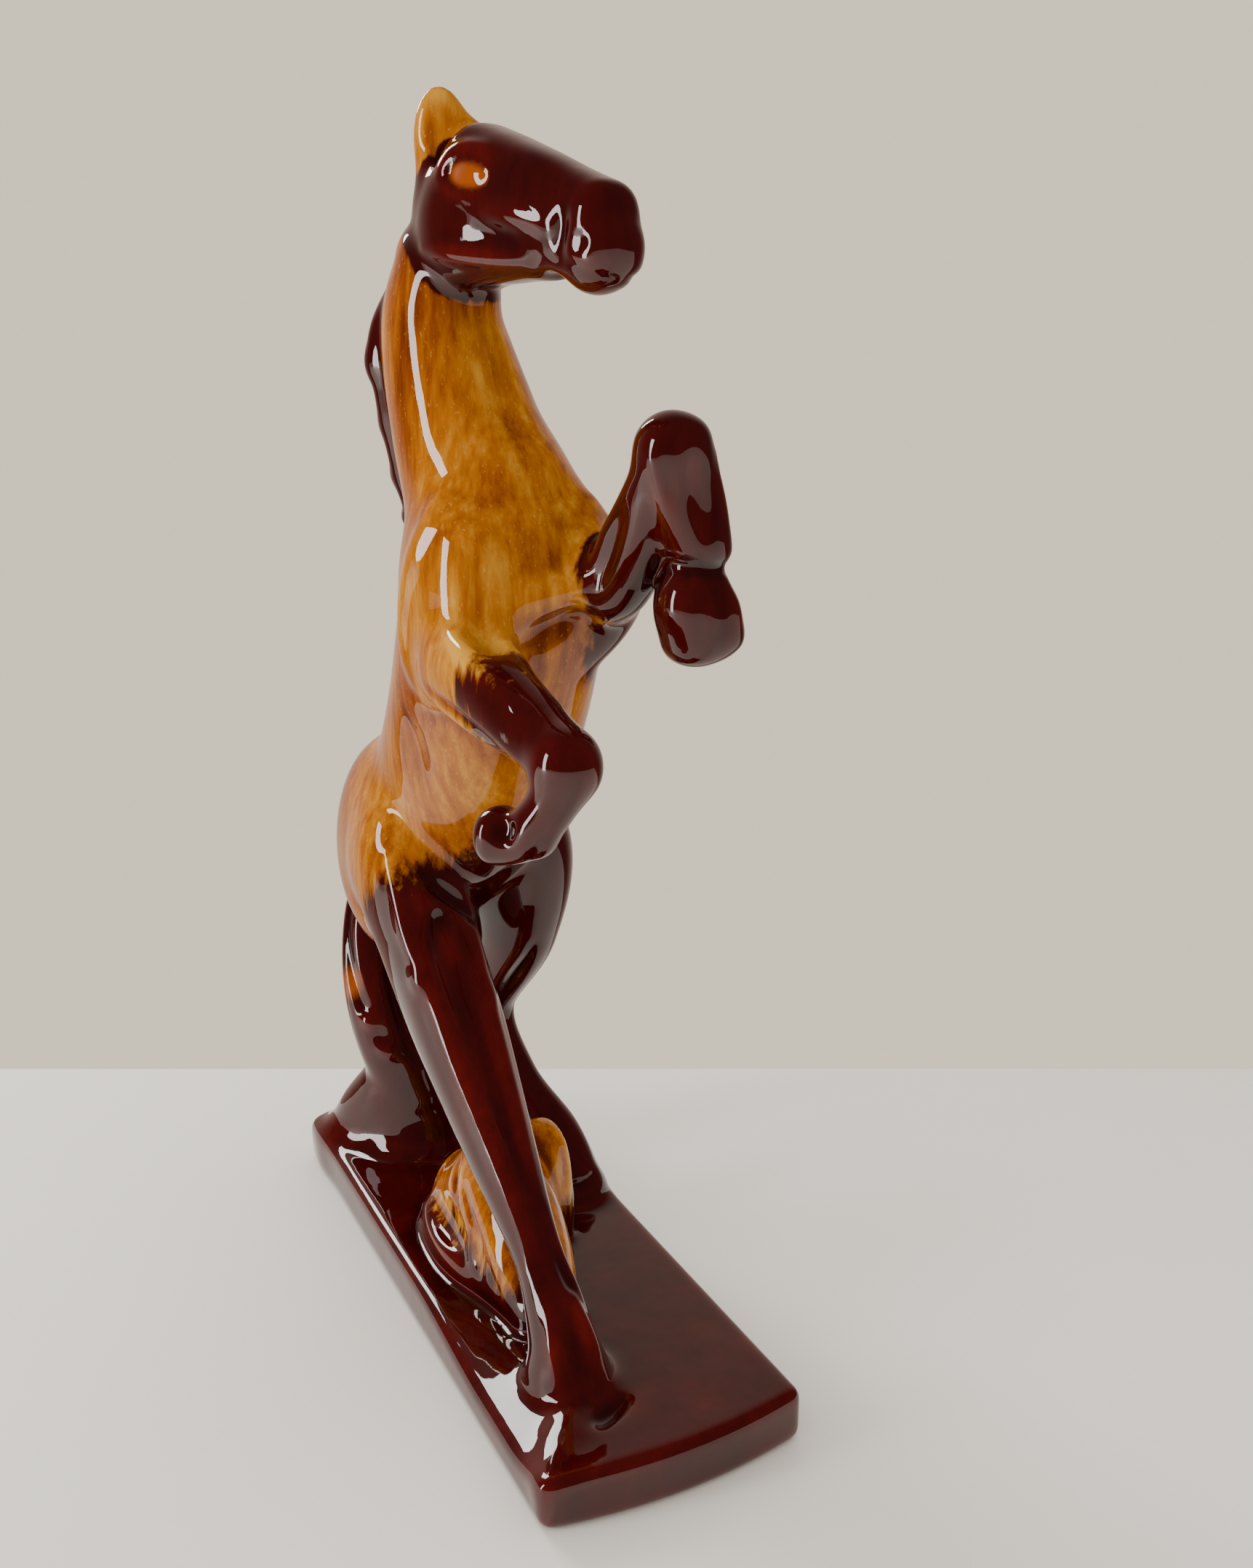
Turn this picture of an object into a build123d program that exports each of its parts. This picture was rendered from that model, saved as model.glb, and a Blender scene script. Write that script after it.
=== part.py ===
"""A rearing horse on a rectangular plinth, in slip-cast glazed pottery.

The origin is the centre of the plinth's underside. The horse faces -Y, its left side is +X
and +Z is up. All sizes are millimetres. The figure is cast as separate hollow or solid pieces
that are luted together face to face: every joint face below is cut from its neighbour's own form.
"""
import os

from build123d import *

os.makedirs("parts", exist_ok=True)

# Overall sizes
plinth_length = 179.2  # along Y, at the corners
plinth_width = 66.4  # along X
plinth_height = 13.6
plinth_bow = 4.0  # how far each short end bulges past its corners
plinth_corner = 3.0  # radius of the upright corners
plinth_edge = 2.6  # radius of the top rim
foot_edge = 1.2  # radius of the bottom rim
figure_height = 286.4  # from the plinth's top to the tip of the right ear

# Casting
wall = 4.5  # thickness of the cast clay round every cavity
drain_diameter = 8.0  # hole in the plinth's underside that the slip was poured out of
drain_y = -52.0
vent_diameter = 3.0  # pin hole that lets air out of the figure's cavity in the kiln
ground_vent_diameter = 6.0  # holes from the rock and the bank into the plinth
knee_left = 7.5  # radius of the raised left knee
knee_right = 7.0  # radius of the right knee

# The figure is drawn at this height, then scaled to figure_height and stood on the plinth.
DRAWN_HEIGHT = 286.4
scale = figure_height / DRAWN_HEIGHT

# Centre lines. Each station is x, y, height above the plinth, half width and half depth.
TORSO = [
    (0, 69, 85, 9, 10),
    (0, 63, 90, 17, 18),
    (0, 52, 100, 22.5, 25),
    (0, 32, 118, 24, 27.5),
    (0, 15, 142, 24.5, 27.5),
    (0, 4, 166, 24.5, 27.5),
    (0, 2, 184, 22.5, 25.5),
    (0, 3, 198, 17, 19),
    (0, 4, 206, 9, 10),
]
NECK = [
    (0, 5, 186, 19, 21),
    (-1, 7, 196, 19.5, 22),
    (-5, 11, 214, 17.5, 19.5),
    (-8.5, 14, 235, 14.5, 17),
    (-8, 11, 250, 12, 14),
    (-7, 7, 259, 8, 9),
]
HEAD = [
    (-7.5, 9, 266, 6, 9),
    (-6.5, 4.5, 264.5, 10.5, 14.5),
    (-5, -2, 262, 12, 17),
    (-2.5, -14, 259, 11, 14.5),
    (0, -24, 257, 9.8, 12),
    (3.5, -36, 254, 8.4, 9.6),
    (5.5, -43, 252, 8, 9),
    (6.6, -47.5, 251, 6.2, 7),
    (7.2, -49.8, 250.5, 3, 3.5),
]
EAR_RIGHT = [(-9.5, 6, 269, 5.5, 4), (-10.5, 4.5, 276, 6, 4), (-11.8, 2.5, 282, 4, 3), (-12.6, 1.2, 286.4, 1.2, 1)]
EAR_LEFT = [(-3.5, 7, 268, 5, 3.5), (-4, 6, 274, 5, 3.5), (-5, 4, 279, 3.5, 2.5), (-5.5, 3, 282.5, 1.2, 1)]
MANE = [
    (-9, 22, 256, 5, 4),
    (-13, 27, 243, 8, 6),
    (-15.5, 28, 227, 9, 6),
    (-13, 27.5, 211, 8.5, 6),
    (-10.5, 27, 197, 7, 5.5),
    (-8, 27, 185, 4, 4),
]
ARM_LEFT = [
    (8, -6, 181, 12, 13),
    (10, -12, 180.5, 12, 12.5),
    (14, -26, 180, 9.5, 10),
    (18, -37, 190, 8.3, 8.8),
    (20.3, -43.5, 200, 7.8, 8),
    (21.8, -48, 211, 7.2, 7.4),
]
CANNON_LEFT = [
    (21.8, -48, 212, 7, 7),
    (24.3, -48, 194.5, 6.6, 6.9),
    (26.2, -47.3, 184.5, 6.6, 6.8),
    (27.2, -47, 180, 5.9, 6.2),
    (28.8, -46.5, 173, 7.6, 8.2),
    (30, -45.5, 165, 7, 8),
]
ARM_RIGHT = [
    (-14, -8, 162, 11.5, 13),
    (-15, -16, 160.5, 11.5, 12.5),
    (-16, -36, 157, 8.5, 9.4),
    (-14, -52, 151.5, 7.2, 7.8),
    (-12.8, -61, 148, 6.8, 7),
]
CANNON_RIGHT = [
    (-12.8, -62, 146.5, 6.2, 6.4),
    (-15.6, -60.8, 139.5, 5.3, 5.5),
    (-18.4, -58.2, 134.2, 5.3, 5.5),
    (-20.8, -54.6, 131.2, 5.5, 5.7),
    (-23.0, -50.6, 130.8, 6.6, 6.6),
]
HIND_LEG_RIGHT = [
    (-9, 47, 112, 12, 18),
    (-17, 33, 103, 14.5, 19),
    (-18, 14, 84, 12.5, 14.5),
    (-16.5, -4, 64, 11.5, 11),
    (-15, -26, 41.5, 8.5, 8),
    (-14, -44, 24.5, 6, 5.8),
    (-13.5, -53, 14.5, 7, 6.8),
    (-13.5, -59, 5.5, 8.2, 8),
    (-13.5, -62, -4, 9.5, 9.5),
]
HIND_LEG_LEFT = [
    (8, 47, 112, 12, 18),
    (15, 33, 100, 14.5, 18),
    (14, 32, 76, 11.5, 13),
    (9, 41, 50, 7, 8),
    (12.5, 31, 30, 6.2, 7),
    (19, 19, 15.5, 7.5, 8),
    (21, 14, 4.5, 9, 9.5),
    (21, 12, -4, 9.5, 10),
]
TAIL = [
    (0, 58, 102, 8, 8),
    (-3, 68, 97, 8.5, 8.5),
    (-8, 76, 83, 9.5, 9),
    (-11.5, 75, 68, 11.5, 9),
    (-12.5, 70, 50, 13, 9.5),
    (-11, 64, 32, 12.5, 9.5),
    (-7, 60, 16, 10, 9),
]
# Ground forms rise in level rings from the plinth's top.
ROCK = [
    (-8, -14, 0, 15.5, 38),
    (-8.5, -15, 10, 14, 35),
    (-8.5, -15, 20, 12, 30),
    (-7, -12, 28, 9.5, 22),
    (-4, -8, 33.5, 5, 11),
]
BANK = [(0, 57, 0, 29, 27), (0, 58, 7, 26, 24.5), (-2, 60, 14, 19, 18.5), (-3, 60, 18.5, 10, 10)]


def place(station):
    """The point of a station, in the part's frame."""
    x, y, z = station[:3]
    return Vector(x * scale, y * scale, z * scale + plinth_height)


def sizes(station, inset=0.0):
    """Half width and half depth of a station, less an inset."""
    return [half * scale - inset for half in station[3:]]


def across(stations, i):
    """The plane that cuts a centre line at one station, halfway between the runs on either side."""
    before = place(stations[max(i - 1, 0)])
    after = place(stations[min(i + 1, len(stations) - 1)])
    along = (after - before).normalized()
    lateral = Vector(1, 0, 0) - along * along.X
    return Plane(origin=place(stations[i]), x_dir=lateral, z_dir=along)


def limb(stations, inset=0.0):
    """One smooth form through an oval at every station, square to its centre line."""
    with BuildPart() as form:
        for i, station in enumerate(stations):
            with BuildSketch(across(stations, i)):
                Ellipse(*sizes(station, inset))
        loft()
    return form.part


def heap(rings, inset=0.0):
    """One smooth form through a level oval at every ring."""
    with BuildPart() as form:
        for ring in rings:
            with BuildSketch(Plane(place(ring))):
                Ellipse(*sizes(ring, inset))
        loft()
    return form.part


def knuckle(station, radius):
    """The ball of a bent knee."""
    with BuildPart(Plane(place(station))) as form:
        Sphere(radius * scale)
    return form.part


# The outer forms, whole, before any of them is cut back to its joints.
torso_form = limb(TORSO)
neck_form = limb(NECK)
head_form = limb(HEAD)
rock_form = heap(ROCK)
bank_form = heap(BANK)

# The cavity of the figure runs from the rump through the neck to the jaw. Its ends stop short of
# the outer ends, so the cast wall is whole all round.
torso_core = limb(TORSO[1:-1], wall)
neck_core = limb(NECK[:-1], wall)
head_core = limb(HEAD[1:-3], wall)
vent_middle = (0, 20, 78)  # in the groin, between the thighs
vent_drilling = 40  # long enough to reach the cavity from outside

# The ground forms are shells too, open underneath, and a hole through the plinth's top vents each.
rock_core = heap(ROCK[:-1], wall)
bank_core = heap(BANK[:-1], wall)
ground_vents = [place(ring) for ring in (ROCK[0], BANK[0])]

# The plinth: a box with bowed ends, hollow, with a drain hole in the underside.
half_length = plinth_length / 2
half_width = plinth_width / 2
with BuildPart() as base_plinth:
    with BuildSketch():
        with BuildLine():
            near_left = (half_width, -half_length)
            near_right = (-half_width, -half_length)
            far_right = (-half_width, half_length)
            far_left = (half_width, half_length)
            SagittaArc(near_right, near_left, -plinth_bow)
            Line(near_left, far_left)
            SagittaArc(far_left, far_right, -plinth_bow)
            Line(far_right, near_right)
        make_face()
    extrude(amount=plinth_height)
    fillet(base_plinth.edges().filter_by(Axis.Z), plinth_corner)
    fillet(base_plinth.faces().sort_by(Axis.Z)[-1].edges(), plinth_edge)
    fillet(base_plinth.faces().sort_by(Axis.Z)[0].edges(), foot_edge)
    with Locations((0, 0, plinth_height / 2)):
        Box(plinth_width - 2 * wall, plinth_length - 2 * wall, plinth_height - 2 * wall, mode=Mode.SUBTRACT)
    with Locations((0, drain_y, 0)):
        Cylinder(drain_diameter / 2, 3 * wall, mode=Mode.SUBTRACT)
    with Locations(*ground_vents):
        Cylinder(ground_vent_diameter / 2, 3 * wall, mode=Mode.SUBTRACT)

# The torso, with the cavity open into the neck and a pin hole under the belly.
with BuildPart() as torso:
    add(torso_form)
    add(torso_core, mode=Mode.SUBTRACT)
    add(neck_core, mode=Mode.SUBTRACT)
    with Locations(place(vent_middle)):
        Cylinder(vent_diameter / 2, vent_drilling * scale, mode=Mode.SUBTRACT)

with BuildPart() as neck:
    add(neck_form)
    add(torso_form, mode=Mode.SUBTRACT)
    add(neck_core, mode=Mode.SUBTRACT)

with BuildPart() as head:
    add(head_form)
    add(neck_form, mode=Mode.SUBTRACT)
    add(neck_core, mode=Mode.SUBTRACT)
    add(head_core, mode=Mode.SUBTRACT)

with BuildPart() as ear_right:
    add(limb(EAR_RIGHT))
    add(head_form, mode=Mode.SUBTRACT)
    add(neck_form, mode=Mode.SUBTRACT)

with BuildPart() as ear_left:
    add(limb(EAR_LEFT))
    add(head_form, mode=Mode.SUBTRACT)
    add(neck_form, mode=Mode.SUBTRACT)
    add(ear_right.part, mode=Mode.SUBTRACT)

with BuildPart() as mane:
    add(limb(MANE))
    add(head_form, mode=Mode.SUBTRACT)
    add(neck_form, mode=Mode.SUBTRACT)
    add(torso_form, mode=Mode.SUBTRACT)

# The forelegs: each is an arm and a cannon that meet in the ball of the bent knee.
with BuildPart() as foreleg_left:
    add(limb(ARM_LEFT))
    add(limb(CANNON_LEFT))
    add(knuckle(ARM_LEFT[-1], knee_left))
    add(torso_form, mode=Mode.SUBTRACT)
    add(neck_form, mode=Mode.SUBTRACT)

with BuildPart() as foreleg_right:
    add(limb(ARM_RIGHT))
    add(limb(CANNON_RIGHT))
    add(knuckle(ARM_RIGHT[-1], knee_right))
    add(torso_form, mode=Mode.SUBTRACT)

# The hind legs stand on the plinth, and the rock fills the space behind the right one.
cut_depth = 60  # deeper below the deck than any form on it reaches
below_deck = Pos(0, 0, (plinth_height - cut_depth) / 2) * Box(
    3 * plinth_width, 2 * plinth_length, plinth_height + cut_depth)

with BuildPart() as hind_leg_right:
    add(limb(HIND_LEG_RIGHT))
    add(torso_form, mode=Mode.SUBTRACT)
    add(below_deck, mode=Mode.SUBTRACT)

with BuildPart() as hind_leg_left:
    add(limb(HIND_LEG_LEFT))
    add(torso_form, mode=Mode.SUBTRACT)
    add(below_deck, mode=Mode.SUBTRACT)

with BuildPart() as rock:
    add(rock_form)
    add(rock_core, mode=Mode.SUBTRACT)
    add(hind_leg_right.part, mode=Mode.SUBTRACT)
    add(hind_leg_left.part, mode=Mode.SUBTRACT)

with BuildPart() as tail_bank:
    add(bank_form)
    add(bank_core, mode=Mode.SUBTRACT)
    add(rock_form, mode=Mode.SUBTRACT)
    add(hind_leg_left.part, mode=Mode.SUBTRACT)

with BuildPart() as tail:
    add(limb(TAIL))
    add(torso_form, mode=Mode.SUBTRACT)
    add(bank_form, mode=Mode.SUBTRACT)

pieces = {
    "base_plinth": base_plinth,
    "rock": rock,
    "tail_bank": tail_bank,
    "torso": torso,
    "neck": neck,
    "head": head,
    "ear_right": ear_right,
    "ear_left": ear_left,
    "mane": mane,
    "foreleg_left": foreleg_left,
    "foreleg_right": foreleg_right,
    "hind_leg_right": hind_leg_right,
    "hind_leg_left": hind_leg_left,
    "tail": tail,
}
for name, piece in pieces.items():
    piece.part.label = name
    export_step(piece.part, f"parts/{name}.step")
    print(name, len(piece.part.solids()), "solids", round(piece.part.volume), "mm3")
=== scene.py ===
"""A rearing horse figurine in glazed pottery, sculpted around its CAD frame.

The clay is a field of signed distances on a grid, in millimetres. Forms are pressed together and
hollows are cut out of them, the surface is drawn off once, and that skin is parted at the joints
into one closed piece for each casting, so the glaze runs on unbroken from piece to piece.
"""
import math

import bpy
import numpy as np
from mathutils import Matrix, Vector


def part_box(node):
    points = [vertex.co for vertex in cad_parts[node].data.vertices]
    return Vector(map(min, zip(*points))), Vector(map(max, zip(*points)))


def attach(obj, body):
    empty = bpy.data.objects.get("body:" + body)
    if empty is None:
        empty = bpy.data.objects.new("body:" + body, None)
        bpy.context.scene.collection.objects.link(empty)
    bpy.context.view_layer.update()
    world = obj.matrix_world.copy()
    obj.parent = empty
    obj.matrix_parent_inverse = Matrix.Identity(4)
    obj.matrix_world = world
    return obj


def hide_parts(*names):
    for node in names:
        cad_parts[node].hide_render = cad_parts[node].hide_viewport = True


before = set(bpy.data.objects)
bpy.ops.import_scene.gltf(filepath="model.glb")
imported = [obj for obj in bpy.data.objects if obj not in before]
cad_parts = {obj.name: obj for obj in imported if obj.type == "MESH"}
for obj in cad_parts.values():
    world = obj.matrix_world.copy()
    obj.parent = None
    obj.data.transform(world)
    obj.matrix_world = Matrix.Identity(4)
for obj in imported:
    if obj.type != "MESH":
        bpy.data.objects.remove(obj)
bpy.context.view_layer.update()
MM = 0.001

# The drawing of the figure is in millimetres, with heights measured up from the plinth's top.
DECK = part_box("base_plinth")[1][2] / MM
DRAWN_HEIGHT = 286.4
FIGURE_SCALE = (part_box("ear_right")[1][2] / MM - DECK) / DRAWN_HEIGHT
PLINTH_WIDTH = (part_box("base_plinth")[1][0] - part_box("base_plinth")[0][0]) / MM
PLINTH_LENGTH = (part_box("base_plinth")[1][1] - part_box("base_plinth")[0][1]) / MM

GRID_STEP = 0.75
SOFTEN = 0.8  # how far the glaze rounds every edge
FAR = 1000.0


# ---------------------------------------------------------------- forms in the clay
def unit(vector):
    vector = np.asarray(vector, float)
    return vector / np.linalg.norm(vector)


def to_oval(u, v, w, a, b, c, square=2.0):
    """Signed distance to an oval of half sizes a, b, c, near enough at its surface.

    With `square` above 2 the oval has flatter sides and tighter corners.
    """
    u, v, w = np.abs(u / a), np.abs(v / b), np.abs(w / c)
    size = np.maximum((u ** square + v ** square + w ** square) ** (1 / square), 1e-6)
    power = square - 1
    rise = np.sqrt((u ** power / a) ** 2 + (v ** power / b) ** 2 + (w ** power / c) ** 2) / size ** power
    return (size - 1) / np.maximum(rise, 1e-6)


class Ball:
    """An egg: half sizes across, deep and along, with its long way aimed along `aim`.

    With `lift` set, its centre is moved to that height over the clay before it is worked in.
    """

    def __init__(self, centre, half_sizes, aim=(0, 0, 1), side=(1, 0, 0), blend=4.0, turn="body", square=2.0,
                 lift=None):
        self.half_sizes = np.array(half_sizes, float)
        along = unit(aim)
        across = unit(np.array(side, float) - along * np.dot(side, along))
        self.axes = np.stack([across, np.cross(along, across), along])
        self.blend, self.turn, self.square, self.lift = blend, turn, square, lift
        self.place(np.array([centre], float))

    def place(self, knots):
        self.knots = knots
        reach = self.half_sizes.max()
        self.low, self.high = knots[0] - reach, knots[0] + reach

    def distance(self, points):
        local = (points - self.knots[0]) @ self.axes.T
        return to_oval(local[:, 0], local[:, 1], local[:, 2], *self.half_sizes, self.square)


class Limb:
    """A form swept along a smooth centre line through stations of x, y, z, half width, half depth."""

    def __init__(self, stations, side=(1, 0, 0), blend=4.0, turn="body", cap=1.0, square=2.0, lift=None):
        self.blend, self.turn, self.cap, self.square, self.lift = blend, turn, cap, square, lift
        stations = np.array(stations, float)
        self.side, self.sizes = np.array(side, float), stations[:, 3:]
        self.place(stations[:, :3])

    def place(self, knots):
        self.knots = knots
        self.line = smooth_line(np.concatenate([knots, self.sizes], 1), 1.0)
        spine = self.line[:, :3]
        along = np.gradient(spine, axis=0)
        along /= np.linalg.norm(along, axis=1)[:, None]
        across = self.side - along * (along @ self.side)[:, None]
        across /= np.linalg.norm(across, axis=1)[:, None]
        self.along, self.across = along, across
        self.deep = np.cross(along, across)
        reach = self.line[:, 3:].max(axis=1)[:, None]
        self.low, self.high = (spine - reach).min(axis=0), (spine + reach).max(axis=0)

    def distance(self, points):
        result = np.empty(len(points))
        for start in range(0, len(points), 60000):
            result[start:start + 60000] = self.chunk(points[start:start + 60000])
        return result

    def chunk(self, points):
        spine = self.line[:, :3]
        gaps = (spine ** 2).sum(1)[None, :] - 2 * points @ spine.T
        near = np.clip(gaps.argmin(axis=1), 1, len(spine) - 2)
        step = ((points - spine[near]) * self.along[near]).sum(1)
        length = np.linalg.norm(spine[near + 1] - spine[near - 1], axis=1) / 2
        t = np.clip(near + step / length, 0, len(spine) - 1.001)
        i = t.astype(int)
        f = (t - i)[:, None]

        def at(values):
            return values[i] * (1 - f) + values[i + 1] * f

        offset = points - at(spine)
        u = (offset * at(self.across)).sum(1)
        v = (offset * at(self.deep)).sum(1)
        w = (offset * at(self.along)).sum(1)
        half = at(self.line[:, 3:])
        return to_oval(u, v, w, half[:, 0], half[:, 1], half.min(axis=1) * self.cap, self.square)


def smooth_line(knots, spacing):
    """Points every `spacing` along a Catmull-Rom curve through the knots, sizes included."""
    ends = np.concatenate([[2 * knots[0] - knots[1]], knots, [2 * knots[-1] - knots[-2]]])
    runs = []
    for i in range(len(knots) - 1):
        p0, p1, p2, p3 = ends[i:i + 4]
        count = max(2, int(round(np.linalg.norm((p2 - p1)[:3]) / spacing)))
        t = np.arange(count)[:, None] / count
        runs.append(0.5 * (2 * p1 + (p2 - p0) * t + (2 * p0 - 5 * p1 + 4 * p2 - p3) * t ** 2
                           + (3 * p1 - 3 * p2 + p3 - p0) * t ** 3))
    runs.append(knots[-1:])
    line = np.concatenate(runs)
    line[:, 3:] = np.maximum(line[:, 3:], 0.2)
    return line


def fade(value, low, high):
    """0 below the low value, 1 above the high one, and a smooth rise between."""
    t = np.clip((value - low) / (high - low), 0, 1)
    return t * t * (3 - 2 * t)


class Slab:
    """The plinth: a box with bowed ends, rounded edges and a top that falls away to its sides."""

    # The top leans down to the right side too: from this far right of the middle, and between
    # these distances ahead of it.
    LEAN_FROM = 11
    LEAN_GROWS = (8, 56)
    LEAN_ENDS = (72, 96)

    def __init__(self, width, length, height, bow, edge, fall, lean):
        self.half = np.array([width / 2, length / 2, height / 2])
        self.bow, self.edge, self.fall, self.lean = bow, edge, fall, lean
        self.low = np.array([-width / 2, -length / 2, -height])
        self.high = np.array([width / 2, length / 2, 0.0])
        self.blend, self.turn, self.lift = 2.5, "body", None

    def distance(self, points):
        x, y, z = points.T
        across = np.clip(1 - (x / self.half[0]) ** 2, 0, 1)
        along = np.clip(1 - (y / self.half[1]) ** 2, 0, 1)
        reach = self.half[1] - self.bow + self.bow * across
        top = -self.fall * (1 - across * along)
        beside = np.clip((-x - self.LEAN_FROM) / (self.half[0] - self.LEAN_FROM), 0, 1)
        leaning = fade(-y, *self.LEAN_GROWS) * (1 - fade(-y, *self.LEAN_ENDS))
        top -= self.lean * beside ** 1.6 * leaning
        qx = np.abs(x) - (self.half[0] - self.edge)
        qy = np.abs(y) - (reach - self.edge)
        qz = np.abs(z - top / 2 + self.half[2]) - (self.half[2] + top / 2 - self.edge)
        q = np.stack([qx, qy, qz], 1)
        outside = np.linalg.norm(np.maximum(q, 0), axis=1)
        return outside + np.minimum(q.max(axis=1), 0) - self.edge


def egg(*args, **more):
    return Ball(*args, **more)


def bump(centre, half_sizes, height, thick=1, **more):
    """An egg that stands `height` out of the skin, added after the hollows are cut."""
    return Ball(centre, half_sizes, turn="detail", lift=height - half_sizes[thick], **more)


def hollow(centre, half_sizes, depth, thick=1, turn="cut", **more):
    """An egg pressed `depth` into the skin. `thick` says which half size points into it."""
    return Ball(centre, half_sizes, turn=turn, lift=half_sizes[thick] - depth, **more)


def groove(points, radius, depth, blend=1.5, **more):
    """A crease pressed into the skin along a line of points, fading at both ends."""
    last = len(points) - 1
    stations = [(*p, *[radius * (0.4 if i in (0, last) else 1.0)] * 2) for i, p in enumerate(points)]
    return Limb(stations, blend=blend, turn="cut", lift=radius - depth, **more)


def ridge(points, radius, height, blend=2.5, **more):
    """A raised line on the skin, fading at both ends."""
    last = len(points) - 1
    stations = [(*p, *[radius * (0.5 if i in (0, last) else 1.0)] * 2) for i, p in enumerate(points)]
    return Limb(stations, blend=blend, turn="detail", lift=height - radius, **more)


# ---------------------------------------------------------------- the figure, casting by casting
TORSO = [
    (0, 69, 85, 9, 10),
    (0, 63, 90, 17, 18),
    (0, 52, 100, 22.5, 25),
    (0, 32, 118, 24, 27.5),
    (0, 15, 142, 24.5, 27.5),
    (0, 4, 166, 24.5, 27.5),
    (0, 2, 184, 22.5, 25.5),
    (0, 3, 198, 17, 19),
]
NECK = [
    (0, 5, 186, 19, 21),
    (-1, 7, 196, 19.5, 22),
    (-5, 11, 214, 17.5, 19.5),
    (-8.5, 14, 235, 14.5, 17),
    (-8, 11, 250, 12, 14),
]
HEAD = [
    (-6.5, 4.5, 264.5, 10.5, 14.5),
    (-5, -2, 262, 12, 17),
    (-2.5, -13, 260, 11, 15.5),
    (0, -24, 258, 9.6, 13.4),
    (3, -34, 255.5, 8.6, 11.6),
    (5, -42, 253.5, 8.2, 10.6),
]
MANE = [
    (-8.5, 20, 256, 5, 4),
    (-11, 24, 246, 6.5, 5),
    (-14.5, 28, 234, 8, 5.5),
    (-13.5, 28.5, 222, 8, 5.5),
    (-12, 28, 210, 7.5, 5.5),
    (-10, 27.5, 197, 6.5, 5),
    (-8, 27, 185, 4, 4),
]
ARM_LEFT = [
    (10, -4, 181, 11, 13),
    (13, -14, 180.5, 10.5, 12.5),
    (16.0, -27, 180.5, 8.2, 10),
    (17.2, -36, 190, 8.0, 8.8),
    (18.8, -42.5, 200, 7.8, 8),
    (20.2, -46.8, 209, 7.4, 7.4),
]
CANNON_LEFT = [
    (20.4, -47.4, 211, 7.5, 7.2),
    (23.2, -47.6, 197, 7.5, 7.2),
    (26.0, -47.5, 189, 7.2, 7.0),
    (25.8, -47.3, 184.6, 6.4, 6.2),
    (25.8, -47.2, 177.5, 9.2, 8.4),
    (27.6, -47.2, 170, 9.4, 8.8),
]
ARM_RIGHT = [
    (-14, -8, 162, 11.5, 13),
    (-15, -16, 160.5, 11.5, 12.5),
    (-16, -36, 157, 8.5, 9.4),
    (-14, -52, 151.5, 7.2, 7.8),
    (-12.8, -61, 148, 6.8, 7),
]
CANNON_RIGHT = [
    (-12.8, -62, 146.5, 6.2, 6.4),
    (-15.6, -60.8, 139.5, 5.3, 5.5),
    (-18.4, -58.2, 134.2, 5.3, 5.5),
    (-20.8, -54.6, 131.2, 5.5, 5.7),
    (-23.0, -50.6, 130.8, 6.6, 6.6),
]
HIND_LEG_RIGHT = [
    (-9, 47, 112, 12, 18),
    (-17, 33, 103, 14.5, 19),
    (-18, 14, 84, 12.5, 14.5),
    (-16.5, -4, 64, 11.5, 11),
    (-15, -26, 41.5, 8.5, 8),
    (-14, -44, 24.5, 6, 5.8),
    (-13.5, -53, 14.5, 7, 6.8),
    (-13.5, -59, 5.5, 8.2, 8),
    (-13.5, -61, 0, 9, 9),
]
HIND_LEG_LEFT = [
    (8, 47, 112, 12, 18),
    (15, 33, 100, 14.5, 18),
    (14, 32, 76, 11.5, 13),
    (9, 41, 50, 7, 8),
    (12.5, 31, 30, 6.2, 7),
    (19, 19, 15.5, 7.5, 8),
    (21, 14, 4.5, 9, 9.5),
    (21, 13, 0, 9.5, 10),
]
TAIL = [
    (0, 58, 102, 8, 8),
    (-3, 68, 97, 8.5, 8.5),
    (-8, 76, 83, 9.5, 9),
    (-11.5, 75, 68, 11.5, 9),
    (-12.5, 70, 50, 13, 9.5),
    (-11, 64, 32, 12.5, 9.5),
    (-7, 60, 16, 10, 9),
]


def torso_forms():
    return [
        Limb(TORSO, blend=8),
        egg((-15, 48, 99), (15, 25, 32), aim=(0, -0.25, 1), blend=8),
        egg((13, 45, 100), (13, 24, 29), aim=(0, -0.25, 1), blend=8),
        egg((-13, -4, 178), (12, 19, 24), aim=(0, 0.2, 1), blend=8),
        egg((13, -4, 180), (12, 19, 22), aim=(0, 0.2, 1), blend=8),
        egg((0, 18, 192), (11, 13, 16), aim=(0, 0.3, 1), blend=8),
        # the front edge of the right shoulder blade, and the plane inside it
        ridge([(-18, -8, 197), (-22, -6, 187), (-23.5, 0, 173), (-23.5, 1, 160), (-22, -6, 150)],
              3.0, 1.2, blend=5),
        hollow((-15, -24, 178), (5, 6, 16), 1.0, aim=(0, 0.1, 1), blend=6),
        ridge([(18, -12, 197), (22, -10, 187), (23.5, -2, 173)], 3.0, 1.0, blend=5),
        # the breast overhangs the belly between the forelegs
        groove([(-12, -24, 161), (-6, -26, 165), (-1, -27, 169), (4, -28, 171), (10, -27, 172)],
               4.0, 2.4, blend=4),
        ridge([(-7, -28, 173), (-1, -29, 177), (6, -29, 179)], 4.0, 0.9, blend=6),
        # the right elbow's loop, the ribs' edge and the line of the belly
        groove([(-24, -2, 146), (-22, -12, 146), (-20, -20, 150)], 2.2, 1.0, blend=4),
        hollow((-24, 6, 134), (6, 5, 12), 1.1, thick=0, aim=(0, 0.1, 1), blend=6),
    ]


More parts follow.
